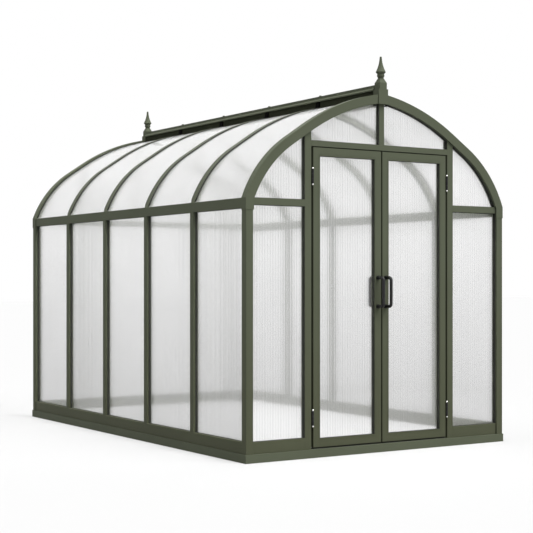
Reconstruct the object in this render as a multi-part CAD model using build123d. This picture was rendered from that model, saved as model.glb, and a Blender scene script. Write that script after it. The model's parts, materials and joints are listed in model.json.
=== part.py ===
from build123d import *
from math import acos, asin, cos, degrees, radians, sin, sqrt
import os

# A walk-in garden greenhouse: a powder-coated aluminium frame glazed with twin-wall sheet,
# a round-shouldered roof with a raised ridge cap between two finials, and a pair of front doors.
# Millimetres. X runs along the front wall, Y from the front wall to the back wall, Z up.
# The origin is the middle of the footprint, on the ground.

# Overall sizes. The front wall is set out from its doors, which give the width and the eave height
LENGTH = 3371.0             # over the front and the back corner posts
BAYS = 5                    # panes along each side wall and each roof slope
LEAF_WIDTH = 544.5          # one door leaf
LEAF_HEIGHT = 1920.0
FLANK_WIDTH = 395.2         # clear width between a door jamb and a corner post
HEAD_RISE = 337.7           # top of the leaves above the eave

# Roof line: each half is a tight shoulder arc, a straight run and a flat crown arc
SHOULDER_RADIUS = 811.0
SLOPE_LENGTH = 173.0        # straight run between the two arcs
CROWN_RADIUS = 1504.0
SPRING_LEAN = 20.7          # degrees that the roof line leans inwards where it leaves the eave
SLOPE_FACING = 56.7         # degrees above level that the straight run faces

# Extruded sections
WALL = 2.5                  # wall of every hollow section
EDGE_RADIUS = 2.0           # rounding of the long outer edges
POST = 52.0                 # square corner post
MULLION_WIDTH = 46.0        # side posts and roof ribs, along the wall
SIDE_POST_DEPTH = 42.0
RAIL_DEPTH = 46.0           # side bottom rails and eave beams, across the wall
RAIL_HEIGHT = 75.0          # bottom rails
EAVE_BEAM_HEIGHT = 64.0
SIDE_RECESS = 4.0           # side rails and posts lie this far behind the corner posts
INFILL_RECESS = 10.0        # gable bars and door leaves lie this far behind the corner posts
MID_RAIL_HEIGHT = 44.0
KING_WIDTH = 41.0           # upright between the crown of a gable and the bar under it

# Glazing: plain sheets seated in slots of the sections
SHEET = 6.0
SHEET_PLAY = 0.3            # room on each face of a sheet in its slot
SLOT_DEPTH = 10.0
EDGE_PLAY = 1.0             # room between a sheet's edge and the bottom of its slot
GABLE_SET = 38.0            # corner post's outer face to the gable sheets
SIDE_SET = 32.0             # corner post's outer face to the side sheets
ROOF_SET = 17.0             # roof line to the roof sheets

# Plinth with a foot flange inside, bolted down at four holes
PLINTH_HEIGHT = 54.0
PLINTH_WIDTH = 62.0
PLINTH_PROUD = 5.0          # plinth stands this far outside the corner posts
FLANGE_WIDTH = 45.0
FLANGE_THICKNESS = 4.0
ANCHOR_RADIUS = 5.5         # hole for a 10 mm ground anchor
ANCHOR_INSET = 300.0        # hole to the outer face of the end wall

# Arches, ribs and ridge
SOCKET_WALL = 2.5           # an arch's foot laps the corner post's outer faces by this thickness
SOCKET_DROP = 76.0          # and reaches this far below the eave
SOCKET_LIP = 5.0            # its front plate shows this far past the post's inner edge
ARCH_DEPTH = 59.5           # arch band, measured square to the roof line
RIB_DROP = 10.0             # roof line to the outer face of a rib
RIB_DEPTH = 40.0
RIDGE_WIDTH = 60.0
RIDGE_RISE = 20.0           # crown of the roof line to the top of the ridge beam
RIDGE_DEPTH = 92.0
BRACKET_LENGTH = 40.0
BRACKET_PLATE = 6.0
BRACKET_TOP_REACH = 10.0    # bracket cheeks stand out this far from the ridge beam at the cap
BRACKET_FOOT_REACH = 20.0   # and this far at the ribs
BRACKET_CLEARANCE = 1.5     # bracket cheeks end this far above the ribs
CAP_WIDTH = 88.0            # ridge cap over its drip lips
CAP_LIP = 7.0
CAP_TOP_WIDTH = 60.0
CAP_HEIGHT = 38.0
CAP_NECK_HEIGHT = 20.0      # height at which the flared skirt meets the upright neck
CAP_BOLT_OFFSET = 18.0      # bolts stand in pairs, this far each side of the middle
CAP_BOLT_RADIUS = 4.0
CAP_BOLT_HEAD_RADIUS = 10.0
CAP_BOLT_HEAD_HEIGHT = 8.0
CAP_BOLT_HEAD_ROUND = 4.0
BOLT_PLAY = 0.3

# Crown block and finial
CROWN_BLOCK_WIDTH = 78.0
CROWN_BLOCK_RISE = 34.0     # crown of the roof line to the top of the block
CROWN_BLOCK_DROP = 1.0      # block reaches this far below the inner edge of the arch
CROWN_BLOCK_PROUD = 10.0
FINIAL_BASE = 58.0
FINIAL_BASE_HEIGHT = 42.0
FINIAL_SHOULDER_HEIGHT = 34.0
FINIAL_NECK_RADIUS = 18.0
FINIAL_CUP_RADIUS = 24.5    # widest place of the rounded cup on the neck
FINIAL_CUP_HEIGHT = 25.0
FINIAL_THROAT_RADIUS = 22.5  # top of the cup
FINIAL_FLARE_RADIUS = 33.0
FINIAL_FLARE_HEIGHT = 12.0
FINIAL_FLARE_EDGE = 3.0
FINIAL_SPIKE_HEIGHT = 95.0
FINIAL_SPIKE_HOLLOW = 5.5   # how far the spike's side bows inwards
FINIAL_TIP_RADIUS = 7.5

# Doors
LEAF_DEPTH = 40.0
STILE_WIDTH = 52.0
LEAF_RAIL_HEIGHT = 54.0
BEAD_WIDTH = 9.0            # opening in a leaf to the joint round its glazing bead
BEAD_JOINT = 1.5            # width and depth of that joint
DOOR_GLASS_SET = 26.0       # leaf's outer face to its sheet
MEETING_GAP = 11.6
HINGE_GAP = 15.5
SILL_GAP = 11.7
HEAD_GAP = 6.0
JAMB_WIDTH = 50.0
TRANSOM_HEIGHT = 37.0
STOP_OVERLAP = 8.5          # door stops reach this far behind a closed leaf
STOP_CLEARANCE = 1.0
STOP_THICKNESS = 5.0

# Hinges
HINGE_INSET = 187.0         # hinge centre to the leaf's end
HINGE_PROUD = 5.0           # hinge axis in front of the leaf's outer face
HINGE_LENGTH = 92.0
KNUCKLES = 3                # the jamb's plate has the first, the leaf's plate the next, and so on
KNUCKLE_RADIUS = 7.0
KNUCKLE_GAP = 0.4
HINGE_PLATE = 2.5
HINGE_PLATE_REACH = 33.0    # hinge axis to the far edge of a plate
HINGE_CLEARANCE = 1.0
PIN_RADIUS = 4.0
PIN_PLAY = 0.05
PIN_BALL_RADIUS = 6.5
PIN_BALL_RISE = 5.5         # ball centre above the barrel's end

# Pull handles, one on each face of a leaf, on two studs through the lock stile
HANDLE_HEIGHT = 190.0       # between the middles of the two legs
HANDLE_MIDDLE = 1057.0      # above the ground
HANDLE_REACH = 60.0         # leaf's outer face to the middle of the outer grip
INNER_HANDLE_REACH = 48.0   # leaf's inner face to the middle of the inner grip
HANDLE_RADIUS = 10.5
HANDLE_BEND = 20.0
ROSE_RADIUS = 14.0
ROSE_THICKNESS = 8.0
STUD_RADIUS = 4.0
STUD_PLAY = 0.25

# Worked out from the sizes above
LEAF_IN = MEETING_GAP / 2
LEAF_OUT = LEAF_IN + LEAF_WIDTH
LEAF_BOTTOM = PLINTH_HEIGHT + SILL_GAP
LEAF_TOP = LEAF_BOTTOM + LEAF_HEIGHT
JAMB_IN = LEAF_OUT + HINGE_GAP
JAMB_OUT = JAMB_IN + JAMB_WIDTH
HALF = JAMB_OUT + FLANK_WIDTH + POST
FRONT = -LENGTH / 2
BACK = LENGTH / 2
EAVE_HEIGHT = LEAF_TOP - HEAD_RISE
PITCH = (LENGTH - POST) / BAYS
SEAT = SLOT_DEPTH - EDGE_PLAY
RAIL_TOP = PLINTH_HEIGHT + RAIL_HEIGHT
EAVE_BOTTOM = EAVE_HEIGHT - EAVE_BEAM_HEIGHT
MID_RAIL_BOTTOM = EAVE_HEIGHT - MID_RAIL_HEIGHT
SHOULDER_X = HALF - SHOULDER_RADIUS * cos(radians(SPRING_LEAN))
SHOULDER_Z = EAVE_HEIGHT - SHOULDER_RADIUS * sin(radians(SPRING_LEAN))
SLOPE_OUT = cos(radians(SLOPE_FACING))
SLOPE_UP = sin(radians(SLOPE_FACING))
CROWN_X = SHOULDER_X - (CROWN_RADIUS - SHOULDER_RADIUS) * SLOPE_OUT - SLOPE_LENGTH * SLOPE_UP
CROWN_Z = SHOULDER_Z - (CROWN_RADIUS - SHOULDER_RADIUS) * SLOPE_UP + SLOPE_LENGTH * SLOPE_OUT
CROWN_HEIGHT = CROWN_Z + sqrt(CROWN_RADIUS ** 2 - CROWN_X ** 2)
ARCH_INNER = ARCH_DEPTH - SOCKET_WALL
RIB_INNER = RIB_DROP + RIB_DEPTH
TRANSOM_BOTTOM = LEAF_TOP + HEAD_GAP
TRANSOM_TOP = TRANSOM_BOTTOM + TRANSOM_HEIGHT
BLOCK_TOP = CROWN_HEIGHT + CROWN_BLOCK_RISE
RIDGE_TOP = CROWN_HEIGHT + RIDGE_RISE
CAP_BOTTOM = RIDGE_TOP + BRACKET_PLATE
CAP_TOP = CAP_BOTTOM + CAP_HEIGHT
LEAF_FACE = FRONT + INFILL_RECESS
LEAF_BACK = LEAF_FACE + LEAF_DEPTH
STOP_FACE = LEAF_BACK + STOP_CLEARANCE
JAMB_BACK = STOP_FACE + STOP_THICKNESS
GABLE_SLOT = (FRONT + GABLE_SET - SHEET_PLAY, FRONT + GABLE_SET + SHEET + SHEET_PLAY)
SIDE_SLOT = (HALF - SIDE_SET + SHEET_PLAY, HALF - SIDE_SET - SHEET - SHEET_PLAY)
ROOF_SLOT = (ROOF_SET - SHEET_PLAY, ROOF_SET + SHEET + SHEET_PLAY)
DOOR_GLASS = LEAF_FACE + DOOR_GLASS_SET
DOOR_SLOT = (DOOR_GLASS - SHEET_PLAY, DOOR_GLASS + SHEET + SHEET_PLAY)
HINGE_X = LEAF_OUT + HINGE_GAP / 2
HINGE_Y = LEAF_FACE - HINGE_PROUD
HINGE_HEIGHTS = (LEAF_BOTTOM + HINGE_INSET, LEAF_TOP - HINGE_INSET)
KNUCKLE_STEP = (HINGE_LENGTH + KNUCKLE_GAP) / KNUCKLES
HANDLE_X = LEAF_IN + STILE_WIDTH / 2
HANDLE_LEGS = (HANDLE_MIDDLE - HANDLE_HEIGHT / 2, HANDLE_MIDDLE + HANDLE_HEIGHT / 2)
PAST = 5.0                  # cuts run this far past the faces that they open
UPWARDS = (Align.CENTER, Align.CENTER, Align.MIN)


# Drawing helpers
def rect(a_start, a_end, b_start, b_end, radius=0.0):
    """A rectangle between two pairs of limits, with its corners rounded where a radius is given."""
    width = abs(a_end - a_start)
    height = abs(b_end - b_start)
    shape = RectangleRounded(width, height, radius) if radius else Rectangle(width, height)
    return Pos((a_start + a_end) / 2, (b_start + b_end) / 2) * shape


def upright(section, z_start, z_end):
    """Extrude a section drawn in x and y from one height to another."""
    return extrude(Plane.XY.offset(z_start) * section, z_end - z_start)


def along_x(section, x_start, x_end):
    """Extrude a section drawn in y and z between two places along X."""
    return extrude(Plane.YZ.offset(x_start) * section, x_end - x_start)


def along_y(section, y_start, y_end):
    """Extrude a section drawn in x and z between two places along Y."""
    return extrude(Plane.XZ.offset(-y_end) * section, y_end - y_start)


def left(part):
    """The left-hand twin of a right-hand piece."""
    return mirror(part, about=Plane.YZ)


def rear(part):
    """The back wall's twin of a front wall piece."""
    return mirror(part, about=Plane.XZ)


def save(name, *pieces):
    """Write one node, as its separate solids."""
    solids = [solid for piece in pieces for solid in piece.solids()]
    export_step(solids[0] if len(solids) == 1 else Compound(solids), f"parts/{name}.step")


# Roof line
def shoulder_angle(drop, z):
    """Where the shoulder arc, lowered by drop, passes a height, in degrees above level."""
    return degrees(asin((z - SHOULDER_Z) / (SHOULDER_RADIUS - drop)))


def crown_angle(drop, x):
    """Where the crown arc, lowered by drop, passes a distance from the middle, in degrees above level."""
    return degrees(acos((x - CROWN_X) / (CROWN_RADIUS - drop)))


def roof_line(drop, foot_z, top_x):
    """The right half of the roof line lowered by drop, from a height up to a distance from the middle."""
    foot = shoulder_angle(drop, foot_z)
    top = crown_angle(drop, top_x)
    shoulder = CenterArc((SHOULDER_X, SHOULDER_Z), SHOULDER_RADIUS - drop, foot, SLOPE_FACING - foot)
    crown = CenterArc((CROWN_X, CROWN_Z), CROWN_RADIUS - drop, SLOPE_FACING, top - SLOPE_FACING)
    slope = Line(shoulder @ 1, crown @ 0)
    return [shoulder, slope, crown]


def roof_height(drop, x):
    """Height of the roof line lowered by drop, at a distance from the middle short of the shoulder."""
    past_crown = x - (CROWN_X + (CROWN_RADIUS - drop) * SLOPE_OUT)
    if past_crown > 0:
        return CROWN_Z + (CROWN_RADIUS - drop) * SLOPE_UP - past_crown * SLOPE_OUT / SLOPE_UP
    return CROWN_Z + (CROWN_RADIUS - drop) * sin(radians(crown_angle(drop, x)))


def roof_band(drop_top, drop_bottom, foot_z, top_x):
    """The strip between two lowered roof lines, drawn in x and z."""
    upper = roof_line(drop_top, foot_z, top_x)
    lower = roof_line(drop_bottom, foot_z, top_x)
    foot = Line(upper[0] @ 0, lower[0] @ 0)
    top = Line(upper[-1] @ 1, lower[-1] @ 1)
    return make_face([*upper, top, *lower, foot])


def under_roof(drop):
    """Everything inside the right half of a lowered roof line, from just under the eave up."""
    foot_z = EAVE_HEIGHT - SEAT
    line = roof_line(drop, foot_z, 0)
    corner = (0, foot_z)
    return make_face([*line, Line(line[-1] @ 1, corner), Line(corner, line[0] @ 0)])


BLOCK_BOTTOM = roof_height(ARCH_INNER, CROWN_BLOCK_WIDTH / 2) - CROWN_BLOCK_DROP


# Bay places along the side walls
def mullion_middle(number):
    """Middle of a side post or roof rib, counted from the front."""
    return FRONT + POST / 2 + number * PITCH


def bay_limits(bay):
    """Clear opening of a bay along Y."""
    start = FRONT + POST if bay == 0 else mullion_middle(bay) + MULLION_WIDTH / 2
    end = BACK - POST if bay == BAYS - 1 else mullion_middle(bay + 1) - MULLION_WIDTH / 2
    return start, end


# Plinth
def plinth_section(outer):
    """Box section with its foot flange on the inner side, drawn in x or y and z."""
    inner = outer - PLINTH_WIDTH
    box = rect(outer, inner, 0, PLINTH_HEIGHT)
    flange = rect(inner, inner - FLANGE_WIDTH, 0, FLANGE_THICKNESS)
    hollow = rect(outer - WALL, inner + WALL, WALL, PLINTH_HEIGHT - WALL)
    return box + flange - hollow


def plinth_bars():
    """The right and the back bar of the plinth, mitred at the corners."""
    x_out = HALF + PLINTH_PROUD
    y_out = BACK + PLINTH_PROUD
    span = PLINTH_WIDTH + FLANGE_WIDTH
    right_mask = Polyline((x_out, -y_out), (x_out, y_out), (x_out - span, y_out - span),
                          (x_out - span, span - y_out), close=True)
    back_mask = Polyline((-x_out, y_out), (x_out, y_out), (x_out - span, y_out - span),
                         (span - x_out, y_out - span), close=True)
    right_bar = along_y(plinth_section(x_out), -y_out, y_out)
    right_bar = right_bar & upright(make_face(right_mask), 0, PLINTH_HEIGHT)
    back_bar = along_x(plinth_section(y_out), -x_out, x_out)
    back_bar = back_bar & upright(make_face(back_mask), 0, PLINTH_HEIGHT)
    hole_x = x_out - PLINTH_WIDTH - FLANGE_WIDTH / 2
    for hole_y in (FRONT + ANCHOR_INSET, BACK - ANCHOR_INSET):
        right_bar -= Pos(hole_x, hole_y, 0) * Cylinder(ANCHOR_RADIUS, 2 * FLANGE_THICKNESS + PAST)
    return right_bar, back_bar


# Walls
def corner_post():
    """The front right corner post, slotted for a gable sheet and a side sheet."""
    inner_x = HALF - POST
    inner_y = FRONT + POST
    section = rect(HALF, inner_x, FRONT, inner_y, EDGE_RADIUS)
    section -= rect(inner_x - PAST, inner_x + SLOT_DEPTH, *GABLE_SLOT)
    section -= rect(*SIDE_SLOT, inner_y - SLOT_DEPTH, inner_y + PAST)
    section -= rect(HALF - WALL, inner_x + SLOT_DEPTH + WALL, FRONT + WALL, GABLE_SLOT[0] - WALL)
    return upright(section, PLINTH_HEIGHT, EAVE_HEIGHT)


def side_post(number):
    """A right side post, slotted on both edges."""
    middle = mullion_middle(number)
    start = middle - MULLION_WIDTH / 2
    end = middle + MULLION_WIDTH / 2
    outer = HALF - SIDE_RECESS
    inner = outer - SIDE_POST_DEPTH
    section = rect(outer, inner, start, end, EDGE_RADIUS)
    section -= rect(*SIDE_SLOT, start - PAST, start + SLOT_DEPTH)
    section -= rect(*SIDE_SLOT, end - SLOT_DEPTH, end + PAST)
    section -= rect(outer - WALL, SIDE_SLOT[0] + WALL, start + WALL, end - WALL)
    section -= rect(SIDE_SLOT[1] - WALL, inner + WALL, start + WALL, end - WALL)
    return upright(section, RAIL_TOP, EAVE_BOTTOM)


def side_rail(bottom, top, slot_at_top):
    """A right bottom rail or eave beam, with a slot for the wall sheets on one edge."""
    outer = HALF - SIDE_RECESS
    inner = outer - RAIL_DEPTH
    slot = (top - SLOT_DEPTH, top + PAST) if slot_at_top else (bottom + SLOT_DEPTH, bottom - PAST)
    hollow = (bottom + WALL, slot[0] - WALL) if slot_at_top else (slot[0] + WALL, top - WALL)
    section = rect(outer, inner, bottom, top, EDGE_RADIUS)
    section -= rect(*SIDE_SLOT, *slot)
    section -= rect(outer - WALL, inner + WALL, *hollow)
    return along_y(section, FRONT + POST, BACK - POST)


def gable_rail(x_start, x_end, bottom, top, slot_below):
    """A level bar of a gable, with a slot for the sheet above and, if asked, for the sheet below."""
    face = FRONT + INFILL_RECESS
    section = rect(face, FRONT + POST, bottom, top, EDGE_RADIUS)
    section -= rect(*GABLE_SLOT, top - SLOT_DEPTH, top + PAST)
    if slot_below:
        section -= rect(*GABLE_SLOT, bottom + SLOT_DEPTH, bottom - PAST)
    section -= rect(face + WALL, GABLE_SLOT[0] - WALL, bottom + WALL, top - WALL)
    return along_x(section, x_start, x_end)


def trimmed_by_arch(bar):
    """Cut the top of a right-hand upright to the inner edge of the arch."""
    band = roof_band(-SOCKET_WALL, ARCH_INNER, EAVE_HEIGHT, CROWN_BLOCK_WIDTH / 2)
    return bar - along_y(band, FRONT - PAST, JAMB_BACK + PAST)


def gable_upright(bottom):
    """An upright of the back gable in line with a door jamb, slotted on both edges."""
    face = FRONT + INFILL_RECESS
    section = rect(JAMB_IN, JAMB_OUT, face, FRONT + POST, EDGE_RADIUS)
    section -= rect(JAMB_IN - PAST, JAMB_IN + SLOT_DEPTH, *GABLE_SLOT)
    section -= rect(JAMB_OUT - SLOT_DEPTH, JAMB_OUT + PAST, *GABLE_SLOT)
    section -= rect(JAMB_IN + WALL, JAMB_OUT - WALL, face + WALL, GABLE_SLOT[0] - WALL)
    return trimmed_by_arch(upright(section, bottom, roof_height(ARCH_INNER, JAMB_IN)))


def king_mullion(bottom):
    """The upright between the crown block and the bar below it, slotted on both edges."""
    face = FRONT + INFILL_RECESS
    half = KING_WIDTH / 2
    section = rect(-half, half, face, FRONT + POST, EDGE_RADIUS)
    for hand in (-1, 1):
        section -= rect(hand * (half + PAST), hand * (half - SLOT_DEPTH), *GABLE_SLOT)
    section -= rect(WALL - half, half - WALL, face + WALL, GABLE_SLOT[0] - WALL)
    return upright(section, bottom, BLOCK_BOTTOM)


# Door opening
def door_jamb():
    """The right jamb, with a door stop behind the closed leaf and slots for the sheets beside it."""
    section = rect(JAMB_IN, JAMB_OUT, LEAF_FACE, JAMB_BACK, EDGE_RADIUS)
    section += rect(JAMB_IN + EDGE_RADIUS, LEAF_OUT - STOP_OVERLAP, STOP_FACE, JAMB_BACK)
    section -= rect(JAMB_OUT - SLOT_DEPTH, JAMB_OUT + PAST, *GABLE_SLOT)
    section -= rect(JAMB_IN + WALL, JAMB_OUT - WALL, LEAF_FACE + WALL, GABLE_SLOT[0] - WALL)
    jamb = trimmed_by_arch(upright(section, PLINTH_HEIGHT, roof_height(ARCH_INNER, JAMB_IN)))
    upper_slot = rect(LEAF_OUT - STOP_OVERLAP - PAST, JAMB_IN + SLOT_DEPTH, *GABLE_SLOT)
    jamb -= upright(upper_slot, TRANSOM_BOTTOM, CROWN_HEIGHT)
    upper_stop = rect(LEAF_OUT - STOP_OVERLAP - PAST, JAMB_IN, STOP_FACE - PAST, JAMB_BACK + PAST)
    return jamb - upright(upper_stop, TRANSOM_BOTTOM, CROWN_HEIGHT)


def door_transom():
    """The bar over the doors, with a door stop hanging behind the closed leaves."""
    section = rect(LEAF_FACE, JAMB_BACK, TRANSOM_BOTTOM, TRANSOM_TOP, EDGE_RADIUS)
    section -= rect(*GABLE_SLOT, TRANSOM_TOP - SLOT_DEPTH, TRANSOM_TOP + PAST)
    section -= rect(LEAF_FACE + WALL, GABLE_SLOT[0] - WALL, TRANSOM_BOTTOM + WALL, TRANSOM_TOP - WALL)
    bar = along_x(section, -JAMB_IN, JAMB_IN)
    stop = rect(STOP_FACE, JAMB_BACK, TRANSOM_BOTTOM + EDGE_RADIUS, LEAF_TOP - STOP_OVERLAP)
    stop_end = LEAF_OUT - STOP_OVERLAP
    return bar + along_x(stop, -stop_end, stop_end)


# Roof
def roof_slot(top_x, y_start, y_end):
    """The room that a roof sheet's edge takes in an arch or a rib."""
    return along_y(roof_band(*ROOF_SLOT, EAVE_HEIGHT - PAST, top_x), y_start, y_end)


def arch():
    """The right half of the front arch, with the socket that laps the corner post."""
    block = CROWN_BLOCK_WIDTH / 2
    face = FRONT - SOCKET_WALL
    inner_y = FRONT + POST
    band = along_y(roof_band(-SOCKET_WALL, ARCH_INNER, EAVE_HEIGHT, block), face, inner_y)
    open_foot = EAVE_HEIGHT - PAST
    hollow = roof_band(WALL - SOCKET_WALL, ARCH_INNER - SLOT_DEPTH - WALL, open_foot, block - PAST)
    band -= along_y(hollow, FRONT + WALL, GABLE_SLOT[0] - WALL)
    gable_slot = roof_band(ARCH_INNER - SLOT_DEPTH, ARCH_INNER + PAST, open_foot, block - PAST)
    band -= along_y(gable_slot, *GABLE_SLOT)
    band -= roof_slot(block - PAST, inner_y - SLOT_DEPTH, inner_y + PAST)
    drop = EAVE_HEIGHT - SOCKET_DROP
    lap_front = rect(HALF + SOCKET_WALL, HALF - POST - SOCKET_LIP, face, FRONT)
    lap_side = rect(HALF + SOCKET_WALL, HALF, face, inner_y)
    return band + upright(lap_front + lap_side, drop, EAVE_HEIGHT)


def roof_rib(number):
    """The right half of a roof rib, from the eave beam to the ridge beam."""
    middle = mullion_middle(number)
    start = middle - MULLION_WIDTH / 2
    end = middle + MULLION_WIDTH / 2
    ridge = RIDGE_WIDTH / 2
    rib = along_y(roof_band(RIB_DROP, RIB_INNER, EAVE_HEIGHT, ridge), start, end)
    rib -= roof_slot(ridge - PAST, start - PAST, start + SLOT_DEPTH)
    rib -= roof_slot(ridge - PAST, end - SLOT_DEPTH, end + PAST)
    hollow = roof_band(RIB_DROP + WALL, RIB_INNER - WALL, EAVE_HEIGHT - PAST, ridge - PAST)
    web = SLOT_DEPTH + WALL
    return rib - along_y(hollow, start + web, end - web)


def ridge_beam():
    """The hollow beam between the two crown blocks."""
    half = RIDGE_WIDTH / 2
    bottom = RIDGE_TOP - RIDGE_DEPTH
    section = rect(-half, half, bottom, RIDGE_TOP)
    section -= rect(WALL - half, half - WALL, bottom + WALL, RIDGE_TOP - WALL)
    return along_y(section, FRONT + POST, BACK - POST)


def bolt_pair(number, bolt):
    """Two copies of a bolt, or of its hole, over a rib: one each side of the middle."""
    return [Pos(hand * CAP_BOLT_OFFSET, mullion_middle(number), 0) * bolt for hand in (-1, 1)]


def cap_bolt_hole(bottom, top):
    """Clearance for a ridge cap bolt between two heights."""
    return Pos(0, 0, bottom) * Cylinder(CAP_BOLT_RADIUS + BOLT_PLAY, top - bottom, align=UPWARDS)


def ridge_cap():
    """The flared cap over the ridge, drilled for two bolts over each rib."""
    lip = CAP_WIDTH / 2
    neck = CAP_TOP_WIDTH / 2
    right_side = [(lip, CAP_BOTTOM), (lip, CAP_BOTTOM + CAP_LIP), (neck, CAP_BOTTOM + CAP_NECK_HEIGHT),
                  (neck, CAP_TOP)]
    left_side = [(-x, z) for x, z in reversed(right_side)]
    outline = make_face(Polyline(*right_side, *left_side, close=True))
    cap = along_y(outline - offset(outline, -WALL), FRONT + POST, BACK - POST)
    hole = cap_bolt_hole(CAP_BOTTOM - PAST, CAP_TOP + PAST)
    for number in range(1, BAYS):
        cap -= bolt_pair(number, hole)
    return cap


def ridge_bracket(number):
    """A saddle on the ridge beam that holds the cap clear of the roof, with a wedge on each side."""
    middle = mullion_middle(number)
    beam = RIDGE_WIDTH / 2
    foot = beam + BRACKET_FOOT_REACH
    cheek = [(beam, RIDGE_TOP), (beam, roof_height(RIB_DROP, beam) + BRACKET_CLEARANCE),
             (foot, roof_height(RIB_DROP, foot) + BRACKET_CLEARANCE), (beam + BRACKET_TOP_REACH, CAP_BOTTOM)]
    other_cheek = [(-x, z) for x, z in reversed(cheek)]
    outline = make_face(Polyline(*cheek, *other_cheek, close=True))
    saddle = along_y(outline, middle - BRACKET_LENGTH / 2, middle + BRACKET_LENGTH / 2)
    return saddle - bolt_pair(number, cap_bolt_hole(RIDGE_TOP - PAST, CAP_BOTTOM + PAST))


def cap_bolts(number):
    """Two domed bolts from the top of the cap down to the ridge beam."""
    shank = Pos(0, 0, RIDGE_TOP) * Cylinder(CAP_BOLT_RADIUS, CAP_TOP - RIDGE_TOP, align=UPWARDS)
    head = Cylinder(CAP_BOLT_HEAD_RADIUS, CAP_BOLT_HEAD_HEIGHT, align=UPWARDS)
    head = fillet(head.edges().sort_by(Axis.Z)[-1], CAP_BOLT_HEAD_ROUND)
    return bolt_pair(number, shank + Pos(0, 0, CAP_TOP) * head)


def crown_block():
    """The front block that joins the arch halves, the king mullion and the ridge beam."""
    half = CROWN_BLOCK_WIDTH / 2
    section = rect(-half, half, FRONT - CROWN_BLOCK_PROUD, FRONT + POST, EDGE_RADIUS)
    block = upright(section, BLOCK_BOTTOM, BLOCK_TOP)
    inner_y = FRONT + POST
    slot = roof_slot(RIDGE_WIDTH / 2, inner_y - SLOT_DEPTH, inner_y + PAST)
    return block - slot - left(slot)


def finial():
    """The front finial: a square base, a sloped shoulder, a rounded cup, and a flared spike."""
    middle = FRONT + (POST - CROWN_BLOCK_PROUD) / 2
    base = Box(FINIAL_BASE, FINIAL_BASE, FINIAL_BASE_HEIGHT, align=UPWARDS)
    base_top = FINIAL_BASE_HEIGHT
    neck = base_top + FINIAL_SHOULDER_HEIGHT
    neck_side = FINIAL_NECK_RADIUS * sqrt(2)
    shoulder = loft([Pos(0, 0, base_top) * Rectangle(FINIAL_BASE, FINIAL_BASE),
                     Pos(0, 0, neck) * Rectangle(neck_side, neck_side)])
    throat = neck + FINIAL_CUP_HEIGHT
    flare = throat + FINIAL_FLARE_HEIGHT
    flare_top = flare + FINIAL_FLARE_EDGE
    tip = flare_top + FINIAL_SPIKE_HEIGHT
    mid_radius = (FINIAL_FLARE_RADIUS + FINIAL_TIP_RADIUS) / 2 - FINIAL_SPIKE_HOLLOW
    outline = [
        Line((0, base_top), (FINIAL_NECK_RADIUS, base_top)),
        Line((FINIAL_NECK_RADIUS, base_top), (FINIAL_NECK_RADIUS, neck)),
        ThreePointArc((FINIAL_NECK_RADIUS, neck), (FINIAL_CUP_RADIUS, (neck + throat) / 2),
                      (FINIAL_THROAT_RADIUS, throat)),
        Line((FINIAL_THROAT_RADIUS, throat), (FINIAL_FLARE_RADIUS, flare)),
        Line((FINIAL_FLARE_RADIUS, flare), (FINIAL_FLARE_RADIUS, flare_top)),
        ThreePointArc((FINIAL_FLARE_RADIUS, flare_top), (mid_radius, (flare_top + tip) / 2),
                      (FINIAL_TIP_RADIUS, tip)),
        ThreePointArc((FINIAL_TIP_RADIUS, tip),
                      (FINIAL_TIP_RADIUS * cos(radians(45)), tip + FINIAL_TIP_RADIUS * sin(radians(45))),
                      (0, tip + FINIAL_TIP_RADIUS)),
        Line((0, tip + FINIAL_TIP_RADIUS), (0, base_top)),
    ]
    spike = revolve(Plane.XZ * make_face(outline), Axis.Z)
    return Pos(0, middle, BLOCK_TOP) * (base + shoulder + spike)


# Glazing sheets
def gable_sheet(face):
    """A gable sheet with an outline drawn in x and z."""
    return along_y(face, FRONT + GABLE_SET, FRONT + GABLE_SET + SHEET)


def crown_sheet(sill):
    """A sheet between the king mullion, an upright, the arch and the bar under it."""
    face = under_roof(ARCH_INNER - SEAT)
    face &= rect(KING_WIDTH / 2 - SEAT, JAMB_IN + SEAT, sill - SEAT, CROWN_HEIGHT)
    half = CROWN_BLOCK_WIDTH / 2 + EDGE_PLAY
    return gable_sheet(face - rect(-half, half, BLOCK_BOTTOM - EDGE_PLAY, BLOCK_TOP))


def flank_sheets():
    """The two right sheets beside an upright: one below the mid rail, one under the arch."""
    lower = rect(JAMB_OUT - SEAT, HALF - POST + SEAT, RAIL_TOP - SEAT, MID_RAIL_BOTTOM + SEAT)
    upper = under_roof(ARCH_INNER - SEAT)
    upper &= rect(JAMB_OUT - SEAT, HALF - POST - EDGE_PLAY, EAVE_HEIGHT - SEAT, CROWN_HEIGHT)
    return [gable_sheet(lower), gable_sheet(upper)]


def wall_sheet(bay):
    """A right wall sheet in one bay."""
    start, end = bay_limits(bay)
    section = rect(HALF - SIDE_SET, HALF - SIDE_SET - SHEET, start - SEAT, end + SEAT)
    return upright(section, RAIL_TOP - SEAT, EAVE_BOTTOM + SEAT)


def roof_sheet(bay):
    """A right roof sheet in one bay, bent to the roof line."""
    start, end = bay_limits(bay)
    band = roof_band(ROOF_SET, ROOF_SET + SHEET, EAVE_HEIGHT, RIDGE_WIDTH / 2)
    return along_y(band, start - SEAT, end + SEAT)


# Door leaves
def leaf_opening(reach):
    """The limits in x and in z of the opening inside the right leaf's bars, widened all round by reach."""
    across = (LEAF_IN + STILE_WIDTH - reach, LEAF_OUT - STILE_WIDTH + reach)
    upwards = (LEAF_BOTTOM + LEAF_RAIL_HEIGHT - reach, LEAF_TOP - LEAF_RAIL_HEIGHT + reach)
    return across, upwards


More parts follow.
